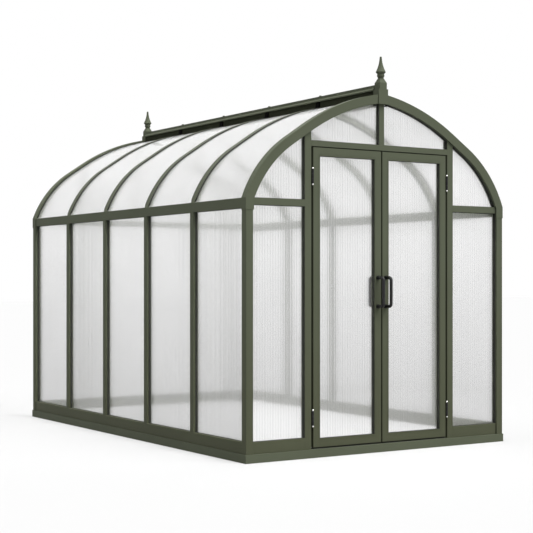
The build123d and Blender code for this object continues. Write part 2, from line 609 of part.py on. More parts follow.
def handle_studs(radius):
    """The two studs through the right leaf's lock stile, or their holes where the radius is larger."""
    middle = (LEAF_FACE + LEAF_BACK) / 2
    studs = [Pos(HANDLE_X, middle, z) * Rot(90, 0, 0) * Cylinder(radius, LEAF_DEPTH) for z in HANDLE_LEGS]
    return studs[0] + studs[1]


def leaf_bars():
    """The right leaf's two stiles and two rails, mitred at the corners."""
    outer = [(LEAF_IN, LEAF_BOTTOM), (LEAF_OUT, LEAF_BOTTOM), (LEAF_OUT, LEAF_TOP), (LEAF_IN, LEAF_TOP)]
    (left_x, right_x), (low_z, high_z) = leaf_opening(0)
    inner = [(left_x, low_z), (right_x, low_z), (right_x, high_z), (left_x, high_z)]
    slot_x, slot_z = leaf_opening(SLOT_DEPTH)
    wall_x, wall_z = leaf_opening(SLOT_DEPTH + WALL)
    hollow = rect(LEAF_IN + WALL, LEAF_OUT - WALL, LEAF_BOTTOM + WALL, LEAF_TOP - WALL)
    hollow -= rect(*wall_x, *wall_z)
    cuts = along_y(rect(*slot_x, *slot_z), *DOOR_SLOT)
    cuts += along_y(hollow, LEAF_FACE + WALL, DOOR_SLOT[0] - WALL)
    cuts += handle_studs(STUD_RADIUS + STUD_PLAY)
    bead_x, bead_z = leaf_opening(BEAD_WIDTH)
    joint_x, joint_z = leaf_opening(BEAD_WIDTH + BEAD_JOINT)
    cuts += along_y(rect(*joint_x, *joint_z) - rect(*bead_x, *bead_z), LEAF_FACE, LEAF_FACE + BEAD_JOINT)
    bars = []
    for side in range(len(outer)):
        after = (side + 1) % len(outer)
        outline = Polyline(outer[side], outer[after], inner[after], inner[side], close=True)
        bars.append(along_y(make_face(outline), LEAF_FACE, LEAF_BACK) - cuts)
    return bars


def leaf_sheet():
    """The right leaf's sheet."""
    across, upwards = leaf_opening(SEAT)
    return along_y(rect(*across, *upwards), DOOR_GLASS, DOOR_GLASS + SHEET)


def handle(reach):
    """A pull handle on the right leaf's outer face: a bent bar on two round roses."""
    low, high = HANDLE_LEGS
    grip = LEAF_FACE - reach
    route = FilletPolyline((HANDLE_X, LEAF_FACE, low), (HANDLE_X, grip, low), (HANDLE_X, grip, high),
                           (HANDLE_X, LEAF_FACE, high), radius=HANDLE_BEND)
    end = Plane(origin=(HANDLE_X, LEAF_FACE, low), z_dir=(0, -1, 0))
    bar = sweep(end * Circle(HANDLE_RADIUS), route)
    for z in HANDLE_LEGS:
        rose = Pos(HANDLE_X, LEAF_FACE - ROSE_THICKNESS / 2, z) * Rot(90, 0, 0)
        bar += rose * Cylinder(ROSE_RADIUS, ROSE_THICKNESS)
    return bar


def handle_set():
    """The right leaf's two handles and the studs that join them through the lock stile."""
    outer = handle(HANDLE_REACH)
    inner = mirror(handle(INNER_HANDLE_REACH), about=Plane.XZ.offset(-(LEAF_FACE + LEAF_BACK) / 2))
    return [outer, inner, handle_studs(STUD_RADIUS)]


# Hinges
def hinge_leaf(middle, hand, first_knuckle):
    """A right door hinge plate with every other knuckle, on the jamb (hand 1) or leaf (hand -1)."""
    bottom = middle - HINGE_LENGTH / 2
    far = HINGE_GAP / 2
    plate_x = (HINGE_X + hand * (far - HINGE_PLATE), HINGE_X + hand * far)
    back_start = HINGE_Y + KNUCKLE_RADIUS + HINGE_CLEARANCE
    plate_end = HINGE_Y + HINGE_PLATE_REACH
    piece = upright(rect(*plate_x, back_start, plate_end), bottom, bottom + HINGE_LENGTH)
    for number in range(first_knuckle, KNUCKLES, 2):
        start = bottom + number * KNUCKLE_STEP
        end = start + KNUCKLE_STEP - KNUCKLE_GAP
        barrel = Pos(HINGE_X, HINGE_Y) * Circle(KNUCKLE_RADIUS)
        bore = Pos(HINGE_X, HINGE_Y) * Circle(PIN_RADIUS + PIN_PLAY)
        piece += upright(barrel + rect(*plate_x, HINGE_Y, back_start), start, end)
        piece -= upright(bore, start, end)
    return piece


def hinge_pin(middle):
    """A hinge pin with a ball at each end."""
    place = Pos(HINGE_X, HINGE_Y, middle)
    ball_rise = HINGE_LENGTH / 2 + PIN_BALL_RISE
    pin = Cylinder(PIN_RADIUS, 2 * ball_rise)
    for end in (-1, 1):
        pin += Pos(0, 0, end * ball_rise) * Sphere(PIN_BALL_RADIUS)
    return place * pin


# Every node
os.makedirs("parts", exist_ok=True)
MULLIONS = range(1, BAYS)
ALL_BAYS = range(BAYS)

plinth_right, plinth_back = plinth_bars()
save("plinth_right", plinth_right)
save("plinth_left", left(plinth_right))
save("plinth_back", plinth_back)
save("plinth_front", rear(plinth_back))

rail = side_rail(PLINTH_HEIGHT, RAIL_TOP, slot_at_top=True)
save("bottom_rail_right", rail)
save("bottom_rail_left", left(rail))
flank_rail = gable_rail(JAMB_OUT, HALF - POST, PLINTH_HEIGHT, RAIL_TOP, slot_below=False)
save("bottom_rail_front_right", flank_rail)
save("bottom_rail_front_left", left(flank_rail))
back_rail = rear(gable_rail(POST - HALF, HALF - POST, PLINTH_HEIGHT, RAIL_TOP, slot_below=False))
save("bottom_rail_back", back_rail)

post = corner_post()
save("corner_post_front_right", post)
save("corner_post_front_left", left(post))
save("corner_post_back_right", rear(post))
save("corner_post_back_left", left(rear(post)))

for mullion in MULLIONS:
    wall_post = side_post(mullion)
    save(f"side_post_right_{mullion}", wall_post)
    save(f"side_post_left_{mullion}", left(wall_post))

beam = side_rail(EAVE_BOTTOM, EAVE_HEIGHT, slot_at_top=False)
save("eave_beam_right", beam)
save("eave_beam_left", left(beam))

half_arch = arch()
save("arch_front", half_arch, left(half_arch))
save("arch_back", rear(half_arch), left(rear(half_arch)))
for mullion in MULLIONS:
    half_rib = roof_rib(mullion)
    save(f"roof_rib_{mullion}", half_rib, left(half_rib))

save("ridge_beam", ridge_beam())
save("ridge_cap", ridge_cap())
save("ridge_brackets", *[ridge_bracket(mullion) for mullion in MULLIONS])
save("ridge_cap_bolts", *[bolt for mullion in MULLIONS for bolt in cap_bolts(mullion)])

save("finial_front", crown_block(), finial())
save("finial_back", rear(crown_block()), rear(finial()))

jamb = door_jamb()
save("door_jamb_right", jamb)
save("door_jamb_left", left(jamb))
save("door_transom", door_transom())
save("king_mullion_front", king_mullion(TRANSOM_TOP))

mid_rail = gable_rail(JAMB_OUT, HALF - POST, MID_RAIL_BOTTOM, EAVE_HEIGHT, slot_below=True)
middle_rail = gable_rail(-JAMB_IN, JAMB_IN, MID_RAIL_BOTTOM, EAVE_HEIGHT, slot_below=True)
save("mid_rail_front_right", mid_rail)
save("mid_rail_front_left", left(mid_rail))
back_bars = [mid_rail, left(mid_rail), middle_rail, king_mullion(EAVE_HEIGHT)]
save("glazing_bars_back", *[rear(bar) for bar in back_bars])
back_post = rear(gable_upright(RAIL_TOP))
save("back_post_right", back_post)
save("back_post_left", left(back_post))

wall_sheets = [wall_sheet(bay) for bay in ALL_BAYS]
save("glazing_wall_right", *wall_sheets)
save("glazing_wall_left", *[left(sheet) for sheet in wall_sheets])
roof_sheets = [roof_sheet(bay) for bay in ALL_BAYS]
save("glazing_roof_right", *roof_sheets)
save("glazing_roof_left", *[left(sheet) for sheet in roof_sheets])
front_half = [*flank_sheets(), crown_sheet(TRANSOM_TOP)]
save("glazing_front", *front_half, *[left(sheet) for sheet in front_half])
back_half = [rear(sheet) for sheet in (*flank_sheets(), crown_sheet(EAVE_HEIGHT))]
back_middle = gable_sheet(rect(-JAMB_IN - SEAT, JAMB_IN + SEAT, RAIL_TOP - SEAT, MID_RAIL_BOTTOM + SEAT))
save("glazing_back", *back_half, *[left(sheet) for sheet in back_half], rear(back_middle))

frame_plates = [hinge_leaf(middle, 1, 0) for middle in HINGE_HEIGHTS]
save("hinge_frame_leaves", *frame_plates, *[left(plate) for plate in frame_plates])
pins = [hinge_pin(middle) for middle in HINGE_HEIGHTS]
save("hinge_pins", *pins, *[left(pin) for pin in pins])

door = {
    "frame": leaf_bars(),
    "glazing": [leaf_sheet()],
    "handles": handle_set(),
    "hinge_leaves": [hinge_leaf(middle, -1, 1) for middle in HINGE_HEIGHTS],
}
for piece_name, pieces in door.items():
    save(f"right_door_{piece_name}", *pieces)
    save(f"left_door_{piece_name}", *[left(piece) for piece in pieces])
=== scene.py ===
import json
from math import radians

import bmesh
import bpy
from bpy.props import FloatProperty, FloatVectorProperty, PointerProperty
from bpy.types import Operator, Panel, PropertyGroup
from mathutils import Euler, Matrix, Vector


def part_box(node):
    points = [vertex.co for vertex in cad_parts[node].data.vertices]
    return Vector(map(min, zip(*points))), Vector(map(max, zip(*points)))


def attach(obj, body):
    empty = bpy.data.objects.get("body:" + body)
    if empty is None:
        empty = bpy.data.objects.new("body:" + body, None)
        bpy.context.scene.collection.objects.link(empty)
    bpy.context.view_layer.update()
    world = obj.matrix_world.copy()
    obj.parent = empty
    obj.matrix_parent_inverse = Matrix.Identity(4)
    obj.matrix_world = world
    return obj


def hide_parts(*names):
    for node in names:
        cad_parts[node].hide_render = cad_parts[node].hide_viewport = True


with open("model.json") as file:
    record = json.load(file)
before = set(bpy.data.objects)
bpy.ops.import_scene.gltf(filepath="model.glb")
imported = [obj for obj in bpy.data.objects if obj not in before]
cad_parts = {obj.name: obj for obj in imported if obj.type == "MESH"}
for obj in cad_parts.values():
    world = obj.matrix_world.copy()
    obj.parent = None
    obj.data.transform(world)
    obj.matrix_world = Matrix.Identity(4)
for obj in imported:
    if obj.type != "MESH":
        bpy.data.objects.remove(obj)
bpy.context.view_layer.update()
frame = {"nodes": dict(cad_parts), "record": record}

# Dresses the imported greenhouse: a powder-coated frame, fluted twin-wall sheets, black rubber seals and
# black door furniture, on a pale floor in soft light. The seals reach deep into the openings, and foam
# lies under the ridge cap, so that their black paints the shade in those recesses. Metres, in the frame of
# the imported model.

bl_info = {
    "name": "Greenhouse looks",
    "version": (1, 0, 0),
    "blender": (4, 5, 0),
    "location": "3D View > Sidebar > Greenhouse",
    "description": "Finishes, sheets and seals for the packed greenhouse, with a stage to look at it",
    "category": "Object",
}

FRAME_BODY = "greenhouse_frame"
DOORS = ("right_door", "left_door")
MM = 0.001

# Limits for the meshes
WELD = 0.01 * MM                # corners closer than this are one
CUT_PRECISION = 0.001 * MM
FLAT_ANGLE = radians(0.2)       # neighbouring faces that turn by less than this are one
CREASE = radians(30)            # edges that turn by more than this are sharp
SIDEWAYS = 0.5                  # a direction with more than this along an axis runs along it
FACING = 0.1                    # a sheet's face that looks less than this to one side is on its rim
RIM, WEATHER, ROOM = 0, 1, 2    # kinds of faces on a sheet

# Looks of the sheets and the bars
ROOM_HAZE = 0.08                # roughness of each skin at its drawing lines
WEATHER_HAZE = 0.3
ROOF_HAZE = 0.5
CLEAR_HAZE = 0.04               # and between them
LINE_SPACING = 6 * MM           # between two drawing lines. Real ones are finer and would not show
LOW_DARKENING_HEIGHTS = (0.1, 1.5)       # the side walls' sheets lighten from their darker foot between these heights
LOW_DARKENING_TONES = (0.69, 0.98)
FOOT_SHADE_HEIGHTS = (0.2, 1.4)     # painted shade on the bars' foot fades out to the plain coat between these heights

# Door seals
# The nose on a meeting edge, in millimetres across the leaf and behind its outer face
NOSE = ((0, 14), (0, 30), (-3.6, 28), (-4.7, 25), (-4.7, 19), (-3.6, 16))
# The blade under a leaf, in millimetres behind its outer face and as a share of the way down
BLADE = ((10, 0), (16, 0), (15, 0.6), (12, 1), (10, 1))
SEAL_PLAY = 0.1 * MM            # between a seal and the bar that it stands against
STOP_ROOM = 1 * MM              # leaf's back to the door stops
SILL_ROOM = 1 * MM              # sill seal to the plinth
STOP_SEAL_SIDE = -8 * MM        # flank of a stop seal, from the stop towards the front
STOP_SEAL_FACE = -11 * MM       # and its front face
SIDE_SEAL = (1.4 * MM, 4 * MM)  # leaf to the flank of a stop seal, and to the corner of its front face
HEAD_SEAL = (1 * MM, 3 * MM)

# Foam under the ridge cap, a dark strip that paints the shade there
FOAM_FOOT_ROOM = 0.6 * MM       # roof sheets to the foam
FOAM_HEAD_ROOM = 0.2 * MM       # foam to the ridge cap
FOAM_FOOT = 0.8                 # share of the foam's thickness at its foot
FOAM_BEVEL = 1.5 * MM
BRACKET_PLAY = 0.3 * MM         # between the foam and a bracket
LONGEST_BRACKET = 100 * MM      # corners further apart than this belong to two brackets

# Stage
# The camera stands where the photograph's did, and its picture is shifted by some of the photograph's pixels
PHOTO_WIDTH = 533
CAMERA_PLACE = (-5.3066, -8.5216, 1.128)
CAMERA_TURN = -32.75            # degrees, so to the right
CAMERA_SENSOR = 36.0
CAMERA_SHIFT = (-0.5 / PHOTO_WIDTH, 14.77 / PHOTO_WIDTH)
FLOOR_REACH = 60
FLOOR_LIFT = 0.41               # glow that lifts the floor to white for the camera
GROUND_LIFT = 0.2
KEY_SPREAD = radians(40)
KEY_FROM = (0.25, -0.55, 0.8)
TOP_SPREAD = radians(60)
TOP_FROM = (-0.17, 0, 0.98)


# Colour and node helpers
def linear(code):
    """The linear colour of an sRGB hex value."""
    values = [int(code[place:place + 2], 16) / 255 for place in (0, 2, 4)]
    return [value / 12.92 if value <= 0.04045 else ((value + 0.055) / 1.055) ** 2.4 for value in values]


def opaque(colour):
    """A colour with a full alpha, for a socket."""
    return (*colour, 1.0)


def add_node(tree, kind, inputs=None, **settings):
    """Add a node with its own settings, and a value or a link for each named input."""
    node = tree.nodes.new(kind)
    for name, value in settings.items():
        setattr(node, name, value)
    for name, value in (inputs or {}).items():
        if isinstance(value, bpy.types.NodeSocket):
            tree.links.new(value, node.inputs[name])
        else:
            node.inputs[name].default_value = value
    return node


def new_material(name):
    """A node material without nodes, and its node tree."""
    material = bpy.data.materials.new(name)
    material.use_nodes = True
    material.node_tree.nodes.clear()
    return material, material.node_tree


def off_line(tree, place, spacing):
    """How far a place lies from the nearest of a row of lines: 0 on a line, 0.5 halfway to the next."""
    count = add_node(tree, "ShaderNodeMath", {0: place, 1: 1 / spacing}, operation="MULTIPLY")
    return add_node(tree, "ShaderNodeMath", {0: count.outputs[0], 1: 0.5}, operation="PINGPONG").outputs[0]


def toned(tree, colour, amount, low, high, start=0.0, end=1.0):
    """A colour times a tone that goes from low to high while an amount goes from start to end."""
    tone = add_node(tree, "ShaderNodeMapRange", {
        "Value": amount, "From Min": start, "From Max": end, "To Min": low, "To Max": high})
    paint = add_node(tree, "ShaderNodeVectorMath", {0: colour, 1: tone.outputs["Result"]},
                     operation="MULTIPLY")
    return paint.outputs["Vector"]


def seen_rays(tree):
    """1 where the camera looks, straight, in gloss or through a sheet, and 0 for light that bounces."""
    path = add_node(tree, "ShaderNodeLightPath")
    seen = path.outputs["Is Camera Ray"]
    for ray in ("Is Glossy Ray", "Is Transmission Ray"):
        both = add_node(tree, "ShaderNodeMath", {0: seen, 1: path.outputs[ray]}, operation="MAXIMUM")
        seen = both.outputs[0]
    return seen


# Settings that a user would change
class GlazingSettings(PropertyGroup):
    """Sizes of the twin-wall sheets."""
    flute_spacing: FloatProperty(
        name="Flute spacing", default=20 * MM, min=5 * MM, unit="LENGTH",
        description="Between the webs inside a sheet. The real 6 mm is too fine to show, so it is drawn "
                    "coarser")
    flute_depth: FloatProperty(
        name="Flute depth", default=0.002, min=0, subtype="FACTOR",
        description="How far the skin of a gable or door sheet dips between two webs, as a share of the "
                    "spacing")
    side_flute_depth: FloatProperty(
        name="Side flute depth", default=0.01, min=0, subtype="FACTOR",
        description="How far the skin of a wall or roof sheet dips between two webs, as a share of the "
                    "spacing")
    flat_share: FloatProperty(
        name="Flat share", default=0.4, min=0, max=0.9, subtype="FACTOR",
        description="Share of a flute's width that is flat and shows what is behind it undistorted")
    milkiness: FloatProperty(
        name="Milkiness", default=0.09, min=0, max=1, subtype="FACTOR",
        description="Share of the light that the weather skin of a wall, gable or door scatters back")
    roof_milkiness: FloatProperty(
        name="Roof milkiness", default=0.10, min=0, max=1, subtype="FACTOR",
        description="Share of the light that the weather skin of a roof sheet scatters back")


class SealSettings(PropertyGroup):
    """Sizes of the rubber seals."""
    seat: FloatProperty(
        name="Seat", default=9.1 * MM, unit="LENGTH",
        description="How far a sheet's edge reaches behind its seal")
    # The linings are rubber seals drawn deep into the reveals, where their black paints the shade of those
    # recesses
    lining_width: FloatProperty(
        name="Lining width", default=1.8 * MM, unit="LENGTH",
        description="Thickness of the seal round an opening")
    gable_lining: FloatProperty(
        name="Gable lining", default=25 * MM, unit="LENGTH",
        description="Depth of the seal in a gable's opening")
    side_lining: FloatProperty(
        name="Side lining", default=13 * MM, unit="LENGTH",
        description="Depth of the seal in a side wall's opening")
    roof_lining: FloatProperty(
        name="Roof lining", default=6.5 * MM, unit="LENGTH",
        description="Depth of the seal along a rib")
    roof_lining_width: FloatProperty(
        name="Roof lining width", default=9 * MM, unit="LENGTH",
        description="Width of the seal along a rib")
    door_lining: FloatProperty(
        name="Door lining", default=23 * MM, unit="LENGTH",
        description="Depth of the seal in a door's opening")
    hinge_gap: FloatProperty(
        name="Hinge gap", default=15.5 * MM, unit="LENGTH",
        description="Between a leaf and its jamb")
    head_gap: FloatProperty(
        name="Head gap", default=6 * MM, unit="LENGTH",
        description="Between the leaves and the bar over them")
    sill_gap: FloatProperty(
        name="Sill gap", default=11.7 * MM, unit="LENGTH",
        description="Between the leaves and the plinth")
    blade_reach: FloatProperty(
        name="Blade reach", default=6 * MM, unit="LENGTH",
        description="Leaf's hinge edge to the end of its sill seal")
    # The foam under the ridge cap is painted shade
    ridge_shade_foam_width: FloatProperty(
        name="Vent strip", default=6 * MM, unit="LENGTH",
        description="Thickness of the foam under the ridge cap")


class FinishSettings(PropertyGroup):
    """Colours of the finishes."""
    frame_colour: FloatVectorProperty(
        name="Frame", default=linear("585D4D"), subtype="COLOR",
        description="Powder coat of the bars")
    # The frame's foot colour is painted shade: the bars are darker near the ground
    shaded_foot_colour: FloatVectorProperty(
        name="Frame's foot", default=linear("505342"), subtype="COLOR",
        description="Powder coat of the bars near the ground, dulled by splashes")
    # The ridge foam's colour paints the shade under the ridge cap
    ridge_shade_colour: FloatVectorProperty(
        name="Ridge foam", default=linear("2C2F22"), subtype="COLOR",
        description="Foam that closes the ridge vent")
    # The seals' olive black also stands in for the shade in the reveals and at the back of the door gaps
    seal_and_shade_colour: FloatVectorProperty(
        name="Seals", default=linear("1A1C13"), subtype="COLOR",
        description="Rubber that lines the openings")
    furniture_colour: FloatVectorProperty(
        name="Door furniture", default=linear("131313"), subtype="COLOR",
        description="Handles and hinges")
    sheet_colour: FloatVectorProperty(
        name="Sheets", default=linear("FFFFFF"), subtype="COLOR",
        description="Twin-wall sheet between its webs")
    web_colour: FloatVectorProperty(
        name="Webs", default=linear("E4E4E4"), subtype="COLOR",
        description="Twin-wall sheet at its webs")


class StageSettings(PropertyGroup):
    """Floor, light and camera."""
    floor_colour: FloatVectorProperty(
        name="Floor", default=linear("949494"), subtype="COLOR",
        description="Pale studio floor")
    ground_colour: FloatVectorProperty(
        name="Ground", default=linear("949494"), subtype="COLOR",
        description="Ground inside the plinth")
    key_strength: FloatProperty(
        name="Key lamp", default=3.4,
        description="Strength of the soft light from the front right")
    top_strength: FloatProperty(
        name="Top lamp", default=2.6,
        description="Strength of the soft light from above")
    ambient: FloatProperty(
        name="Ambient", default=0.25,
        description="Strength of the light from all round")
    ground_rise: FloatProperty(
        name="Ground inside", default=46 * MM, unit="LENGTH",
        description="Height of the ground inside the plinth")
    bank: FloatProperty(
        name="Bank", default=60 * MM, unit="LENGTH",
        description="Plinth's outer face to the ground inside it")
    focal_length: FloatProperty(
        name="Focal length", default=88.05, unit="CAMERA",
        description="Lens of the camera")


# Finishes
def powder_coat(part, colour, shaded_foot_colour):
    """Powder-coated aluminium: a satin skin, dimpled like orange peel, with a slow drift in its tone and
    painted shade towards the ground.
    """
    material, tree = new_material(f"powder-coated aluminium {part}")
    place = add_node(tree, "ShaderNodeTexCoord").outputs["Object"]
    # Painted shade darkens the bars towards the ground
    height = add_node(tree, "ShaderNodeSeparateXYZ", {"Vector": place}).outputs["Z"]
    unshaded = add_node(tree, "ShaderNodeMapRange", {
        "Value": height, "From Min": FOOT_SHADE_HEIGHTS[0], "From Max": FOOT_SHADE_HEIGHTS[1]})
    coat = add_node(tree, "ShaderNodeMix", {
        0: unshaded.outputs["Result"], 6: opaque(shaded_foot_colour), 7: opaque(colour)}, data_type="RGBA")
    # The drift of tone runs over about 400 mm
    drift = add_node(tree, "ShaderNodeTexNoise", {"Vector": place, "Scale": 1 / (400 * MM), "Detail": 2.0})
    paint = toned(tree, coat.outputs[2], drift.outputs["Fac"], low=0.96, high=1.03, start=0.3, end=0.7)
    # Orange peel is about 1.5 mm across, drawn at 5 mm so that it shows
    peel = add_node(tree, "ShaderNodeTexNoise", {"Vector": place, "Scale": 1 / (5 * MM), "Detail": 1.0})
    gloss = add_node(tree, "ShaderNodeMapRange", {
        "Value": peel.outputs["Fac"], "To Min": 0.4, "To Max": 0.56})
    dimple = add_node(tree, "ShaderNodeBump", {
        "Height": peel.outputs["Fac"], "Strength": 0.12, "Distance": 0.4 * MM})
    shader = add_node(tree, "ShaderNodeBsdfPrincipled", {
        "Base Color": paint, "Roughness": gloss.outputs["Result"], "Normal": dimple.outputs["Normal"],
        "IOR": 1.5, "Specular IOR Level": 0.04})
    add_node(tree, "ShaderNodeOutputMaterial", {"Surface": shader.outputs["BSDF"]})
    return material


def rubber(colour):
    """Extruded EPDM rubber: dull black, with a faint bloom that drifts over it."""
    material, tree = new_material("extruded EPDM rubber")
    place = add_node(tree, "ShaderNodeTexCoord").outputs["Object"]
    # The bloom runs over about 60 mm
    bloom = add_node(tree, "ShaderNodeTexNoise", {"Vector": place, "Scale": 1 / (60 * MM), "Detail": 3.0})
    paint = toned(tree, colour, bloom.outputs["Fac"], low=0.8, high=1.25)
    shader = add_node(tree, "ShaderNodeBsdfPrincipled", {
        "Base Color": paint, "Roughness": 0.75, "IOR": 1.5})
    add_node(tree, "ShaderNodeOutputMaterial", {"Surface": shader.outputs["BSDF"]})
    return material


def black_coat(colour):
    """Black powder-coated zinc: fine-grained and satin, as on door furniture."""
    material, tree = new_material("black powder-coated zinc")
    place = add_node(tree, "ShaderNodeTexCoord").outputs["Object"]
    # The grain is under 1 mm, drawn at 2 mm
    grain = add_node(tree, "ShaderNodeTexNoise", {"Vector": place, "Scale": 1 / (2 * MM), "Detail": 2.0})
    gloss = add_node(tree, "ShaderNodeMapRange", {
        "Value": grain.outputs["Fac"], "To Min": 0.3, "To Max": 0.5})
    paint = toned(tree, colour, grain.outputs["Fac"], low=0.8, high=1.2)
    dimple = add_node(tree, "ShaderNodeBump", {
        "Height": grain.outputs["Fac"], "Strength": 0.15, "Distance": 0.2 * MM})
    shader = add_node(tree, "ShaderNodeBsdfPrincipled", {
        "Base Color": paint, "Roughness": gloss.outputs["Result"], "Normal": dimple.outputs["Normal"],
        "IOR": 1.5, "Specular IOR Level": 0.3})
    add_node(tree, "ShaderNodeOutputMaterial", {"Surface": shader.outputs["BSDF"]})
    return material


def moulded_nylon():
    """Moulded black nylon: dead matt, with a fine spark-eroded grain."""
    material, tree = new_material("moulded black nylon")
    place = add_node(tree, "ShaderNodeTexCoord").outputs["Object"]
    # The grain is about 0.3 mm, drawn at 1.5 mm
    grain = add_node(tree, "ShaderNodeTexNoise", {"Vector": place, "Scale": 1 / (1.5 * MM), "Detail": 2.0})
    paint = toned(tree, linear("070706"), grain.outputs["Fac"], low=0.7, high=1.3)
    shader = add_node(tree, "ShaderNodeBsdfPrincipled", {
        "Base Color": paint, "Roughness": 0.85, "IOR": 1.53, "Specular IOR Level": 0.02})
    add_node(tree, "ShaderNodeOutputMaterial", {"Surface": shader.outputs["BSDF"]})
    return material


def polished_steel():
    """Polished stainless steel: bright, with faint rings from turning."""
    material, tree = new_material("polished stainless steel")
    place = add_node(tree, "ShaderNodeTexCoord").outputs["Object"]
    # Turning marks are under 0.5 mm apart, drawn at about 6 mm: 20 radians of this wave fill the 20 mm
    rings = add_node(tree, "ShaderNodeTexWave", {
        "Vector": place, "Scale": 1 / (20 * MM), "Distortion": 0.5}, bands_direction="Z")
    gloss = add_node(tree, "ShaderNodeMapRange", {
        "Value": rings.outputs["Fac"], "To Min": 0.18, "To Max": 0.28})
    shader = add_node(tree, "ShaderNodeBsdfPrincipled", {
        "Base Color": opaque(linear("E4E4E2")), "Metallic": 1.0, "Roughness": gloss.outputs["Result"]})
    add_node(tree, "ShaderNodeOutputMaterial", {"Surface": shader.outputs["BSDF"]})
    return material


def ridge_shade_foam_finish(colour):
    """Open-cell polyurethane foam, olive black, whose dark paints the shade under the ridge cap: dull, with
    cells that break up the light.
    """
    material, tree = new_material("open-cell polyurethane foam")
    place = add_node(tree, "ShaderNodeTexCoord").outputs["Object"]
    # Cells are about 1 mm across, drawn at 3 mm
    cells = add_node(tree, "ShaderNodeTexVoronoi", {"Vector": place, "Scale": 1 / (3 * MM)})
    paint = toned(tree, colour, cells.outputs["Distance"], low=0.5, high=1.3)
    pits = add_node(tree, "ShaderNodeBump", {
        "Height": cells.outputs["Distance"], "Strength": 0.6, "Distance": 1 * MM})
    shader = add_node(tree, "ShaderNodeBsdfPrincipled", {
        "Base Color": paint, "Roughness": 0.95, "Normal": pits.outputs["Normal"],
        "Specular IOR Level": 0.1})
    add_node(tree, "ShaderNodeOutputMaterial", {"Surface": shader.outputs["BSDF"]})
    return material


def twin_wall(axis, skin, milkiness, scatter, glazing, finish):
    """Extruded twin-wall polycarbonate: hazy, half see-through, with its webs as fine lines."""
    material, tree = new_material(f"twin-wall polycarbonate {skin} {axis}")
    place = add_node(tree, "ShaderNodeTexCoord").outputs["Object"]
    parts = add_node(tree, "ShaderNodeSeparateXYZ", {"Vector": place})
    web = add_node(tree, "ShaderNodeMapRange", {
        "Value": off_line(tree, parts.outputs[axis], glazing.flute_spacing),
        "From Min": 0.03, "From Max": 0.12, "To Min": 1.0, "To Max": 0.0}, interpolation_type="SMOOTHSTEP")
    tint = add_node(tree, "ShaderNodeMix", {
        0: web.outputs["Result"], 6: opaque(finish.sheet_colour), 7: opaque(finish.web_colour)},
        data_type="RGBA")
    # Dew and dust drift over about 350 mm
    dew = add_node(tree, "ShaderNodeTexNoise", {"Vector": place, "Scale": 1 / (350 * MM), "Detail": 2.0})
    cover = toned(tree, tint.outputs[2], dew.outputs["Fac"], low=0.97, high=1.0, start=0.3, end=0.7)
    if axis == "Y":
        # The side walls' sheets are darker towards the ground
        cover = toned(tree, cover, parts.outputs["Z"], *LOW_DARKENING_TONES, *LOW_DARKENING_HEIGHTS)
    # Drawing lines in the skin scatter the light that doesn't pass between them
    haze = add_node(tree, "ShaderNodeMapRange", {
        "Value": off_line(tree, parts.outputs[axis], LINE_SPACING),
        "From Min": 0.21, "From Max": 0.26, "To Min": scatter, "To Max": CLEAR_HAZE})
    shader = add_node(tree, "ShaderNodeBsdfPrincipled", {
        "Base Color": cover, "Roughness": haze.outputs["Result"], "IOR": 1.585,
        "Transmission Weight": 1 - milkiness})
    # Lamps shine through the sheet
    path = add_node(tree, "ShaderNodeLightPath")
    clear = add_node(tree, "ShaderNodeBsdfTransparent", {"Color": opaque(linear("FCFCFC"))})
    mix = add_node(tree, "ShaderNodeMixShader", {
        0: path.outputs["Is Shadow Ray"], 1: shader.outputs["BSDF"], 2: clear.outputs["BSDF"]})
    add_node(tree, "ShaderNodeOutputMaterial", {"Surface": mix.outputs["Shader"]})
    return material


# Meshes
def copy_of(node):
    """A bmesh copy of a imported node, with its triangles joined into whole faces."""
    bm = bmesh.new()
    bm.from_mesh(frame["nodes"][node].data)
    bmesh.ops.remove_doubles(bm, verts=bm.verts, dist=WELD)
    bmesh.ops.dissolve_limit(bm, angle_limit=FLAT_ANGLE, verts=bm.verts, edges=bm.edges)
    return bm


def mesh_of(name, bm):
    """Turn a bmesh into a mesh."""
    mesh = bpy.data.meshes.new(name)
    bm.to_mesh(mesh)
    bm.free()
    return mesh


def place_piece(name, bm, materials, body, slot, *nodes):
    """Make a mesh a piece that rides on a body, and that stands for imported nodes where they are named."""
    mesh = mesh_of(name, bm)
    for material in materials:
        mesh.materials.append(material)
    piece = bpy.data.objects.new(name, mesh)
    bpy.context.scene.collection.objects.link(piece)
    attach(piece, body)
    if nodes:
        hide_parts(*nodes)


def shade(bm, crease):
    """Shade a mesh smooth, but sharp at edges that turn by more than an angle."""
    for face in bm.faces:
        face.smooth = True
    for edge in bm.edges:
        edge.smooth = len(edge.link_faces) == 2 and edge.calc_face_angle() < crease


def outward(node, face):
    """How far a sheet's face looks to the weather side: near 1 on that skin, near -1 on the room skin."""
    if "roof" in node:
        uphill = face.normal.x < 0 if "right" in node else face.normal.x > 0
        return face.normal.z if face.normal.z < 0 or not uphill else 0
    if "wall" in node:
        return face.normal.x if "right" in node else -face.normal.x
    return face.normal.y if "back" in node else -face.normal.y


def mark_skins(bm, node, across):
    """Note in each face's material number whether it is on a sheet's rim, weather skin or room skin."""
    for face in bm.faces:
        face.material_index = RIM
        if abs(face.normal.dot(across)) > SIDEWAYS:
            continue
        facing = outward(node, face)
        if facing > FACING:
            face.material_index = WEATHER
        elif facing < -FACING:
            face.material_index = ROOM


